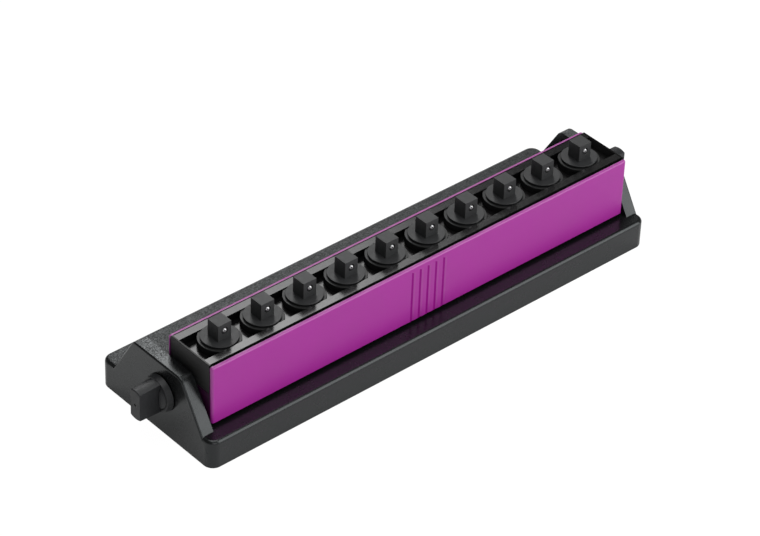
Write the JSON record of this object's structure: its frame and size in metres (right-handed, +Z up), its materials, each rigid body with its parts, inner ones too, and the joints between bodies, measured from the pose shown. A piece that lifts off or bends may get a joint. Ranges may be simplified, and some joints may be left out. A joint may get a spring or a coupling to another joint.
{
  "type": "socket rail",
  "caption": "Bench rail with a row of square drive posts for sockets, hung between the ears of a flat stand so that it tips back, with a locking knob at each end",
  "frame": {"origin": "on the ground under the middle of the whole piece, knobs included", "axes": "+X along the row of posts to the right as seen from the front, +Y to the back, +Z up"},
  "size_m": [0.2568, 0.069, 0.0503],
  "materials": {
    "stand_plastic": "black moulded plastic, satin in front, fine grain on the rear deck and the ears",
    "foot_rubber": "black rubber",
    "coloured_shell": "satin purple paint",
    "tray_plastic": "glossy black",
    "post_plastic": "dark grey satin plastic",
    "knob_plastic": "black satin plastic",
    "pivot_steel": "plain turned steel",
    "ball_chrome": "polished"
  },
  "bodies": {
    "root": {"stand_base": "stand_plastic", "rubber_foot_front_left": "foot_rubber", "rubber_foot_front_right": "foot_rubber", "rubber_foot_back_left": "foot_rubber", "rubber_foot_back_right": "foot_rubber", "washer_left": "pivot_steel", "washer_right": "pivot_steel"},
    "rail": {"rail_shell": "coloured_shell", "post_tray": "tray_plastic", "rail_screw_1": "pivot_steel", "rail_screw_2": "pivot_steel", "rail_screw_3": "pivot_steel", "rail_screw_4": "pivot_steel", "post_collar_01": "post_plastic", "post_collar_02": "post_plastic", "post_collar_03": "post_plastic", "post_collar_04": "post_plastic", "post_collar_05": "post_plastic", "post_collar_06": "post_plastic", "post_collar_07": "post_plastic", "post_collar_08": "post_plastic", "post_collar_09": "post_plastic", "post_collar_10": "post_plastic"},
    "knob_left": {"knob_left": "knob_plastic", "pivot_stud_left": "pivot_steel"},
    "knob_right": {"knob_right": "knob_plastic", "pivot_stud_right": "pivot_steel"},
    "post_01": {"post_01": "post_plastic", "detent_spring_01": "pivot_steel"},
    "ball_01": {"detent_ball_01": "ball_chrome"},
    "post_02": {"post_02": "post_plastic", "detent_spring_02": "pivot_steel"},
    "ball_02": {"detent_ball_02": "ball_chrome"},
    "post_03": {"post_03": "post_plastic", "detent_spring_03": "pivot_steel"},
    "ball_03": {"detent_ball_03": "ball_chrome"},
    "post_04": {"post_04": "post_plastic", "detent_spring_04": "pivot_steel"},
    "ball_04": {"detent_ball_04": "ball_chrome"},
    "post_05": {"post_05": "post_plastic", "detent_spring_05": "pivot_steel"},
    "ball_05": {"detent_ball_05": "ball_chrome"},
    "post_06": {"post_06": "post_plastic", "detent_spring_06": "pivot_steel"},
    "ball_06": {"detent_ball_06": "ball_chrome"},
    "post_07": {"post_07": "post_plastic", "detent_spring_07": "pivot_steel"},
    "ball_07": {"detent_ball_07": "ball_chrome"},
    "post_08": {"post_08": "post_plastic", "detent_spring_08": "pivot_steel"},
    "ball_08": {"detent_ball_08": "ball_chrome"},
    "post_09": {"post_09": "post_plastic", "detent_spring_09": "pivot_steel"},
    "ball_09": {"detent_ball_09": "ball_chrome"},
    "post_10": {"post_10": "post_plastic", "detent_spring_10": "pivot_steel"},
    "ball_10": {"detent_ball_10": "ball_chrome"}
  },
  "joints": [
    {"name": "rail_tilt", "type": "hinge", "parent": "root", "child": "rail", "pos_m": [0, -0.00445, 0.02045], "axis": [1, 0, 0], "range_deg": [-90, 0]},
    {"name": "knob_left_turn", "type": "hinge", "parent": "root", "child": "knob_left", "pos_m": [-0.11565, -0.00445, 0.02045], "axis": [-1, 0, 0], "range_deg": [0, 90]},
    {"name": "knob_right_turn", "type": "hinge", "parent": "root", "child": "knob_right", "pos_m": [0.11565, -0.00445, 0.02045], "axis": [1, 0, 0], "range_deg": [0, 90]},
    {"name": "post_01_turn", "type": "hinge", "parent": "rail", "child": "post_01", "pos_m": [-0.0945, -0.0131, 0.04289], "axis": [0, 0, 1], "range_deg": [0, 90]},
    {"name": "ball_01_press", "type": "slide", "parent": "post_01", "child": "ball_01", "axis": [0, 1, 0], "range_m": [0, 0.00045], "stiffness_N_per_m": 100, "springref_m": -0.0005},
    {"name": "post_02_turn", "type": "hinge", "parent": "rail", "child": "post_02", "pos_m": [-0.0735, -0.0131, 0.04289], "axis": [0, 0, 1], "range_deg": [0, 90]},
    {"name": "ball_02_press", "type": "slide", "parent": "post_02", "child": "ball_02", "axis": [0, 1, 0], "range_m": [0, 0.00045], "stiffness_N_per_m": 100, "springref_m": -0.0005},
    {"name": "post_03_turn", "type": "hinge", "parent": "rail", "child": "post_03", "pos_m": [-0.0525, -0.0131, 0.04289], "axis": [0, 0, 1], "range_deg": [0, 90]},
    {"name": "ball_03_press", "type": "slide", "parent": "post_03", "child": "ball_03", "axis": [0, 1, 0], "range_m": [0, 0.00045], "stiffness_N_per_m": 100, "springref_m": -0.0005},
    {"name": "post_04_turn", "type": "hinge", "parent": "rail", "child": "post_04", "pos_m": [-0.0315, -0.0131, 0.04289], "axis": [0, 0, 1], "range_deg": [0, 90]},
    {"name": "ball_04_press", "type": "slide", "parent": "post_04", "child": "ball_04", "axis": [0, 1, 0], "range_m": [0, 0.00045], "stiffness_N_per_m": 100, "springref_m": -0.0005},
    {"name": "post_05_turn", "type": "hinge", "parent": "rail", "child": "post_05", "pos_m": [-0.0105, -0.0131, 0.04289], "axis": [0, 0, 1], "range_deg": [0, 90]},
    {"name": "ball_05_press", "type": "slide", "parent": "post_05", "child": "ball_05", "axis": [0, 1, 0], "range_m": [0, 0.00045], "stiffness_N_per_m": 100, "springref_m": -0.0005},
    {"name": "post_06_turn", "type": "hinge", "parent": "rail", "child": "post_06", "pos_m": [0.0105, -0.0131, 0.04289], "axis": [0, 0, 1], "range_deg": [0, 90]},
    {"name": "ball_06_press", "type": "slide", "parent": "post_06", "child": "ball_06", "axis": [0, 1, 0], "range_m": [0, 0.00045], "stiffness_N_per_m": 100, "springref_m": -0.0005},
    {"name": "post_07_turn", "type": "hinge", "parent": "rail", "child": "post_07", "pos_m": [0.0315, -0.0131, 0.04289], "axis": [0, 0, 1], "range_deg": [0, 90]},
    {"name": "ball_07_press", "type": "slide", "parent": "post_07", "child": "ball_07", "axis": [0, 1, 0], "range_m": [0, 0.00045], "stiffness_N_per_m": 100, "springref_m": -0.0005},
    {"name": "post_08_turn", "type": "hinge", "parent": "rail", "child": "post_08", "pos_m": [0.0525, -0.0131, 0.04289], "axis": [0, 0, 1], "range_deg": [0, 90]},
    {"name": "ball_08_press", "type": "slide", "parent": "post_08", "child": "ball_08", "axis": [0, 1, 0], "range_m": [0, 0.00045], "stiffness_N_per_m": 100, "springref_m": -0.0005},
    {"name": "post_09_turn", "type": "hinge", "parent": "rail", "child": "post_09", "pos_m": [0.0735, -0.0131, 0.04289], "axis": [0, 0, 1], "range_deg": [0, 90]},
    {"name": "ball_09_press", "type": "slide", "parent": "post_09", "child": "ball_09", "axis": [0, 1, 0], "range_m": [0, 0.00045], "stiffness_N_per_m": 100, "springref_m": -0.0005},
    {"name": "post_10_turn", "type": "hinge", "parent": "rail", "child": "post_10", "pos_m": [0.0945, -0.0131, 0.04289], "axis": [0, 0, 1], "range_deg": [0, 90]},
    {"name": "ball_10_press", "type": "slide", "parent": "post_10", "child": "ball_10", "axis": [0, 1, 0], "range_m": [0, 0.00045], "stiffness_N_per_m": 100, "springref_m": -0.0005}
  ]
}
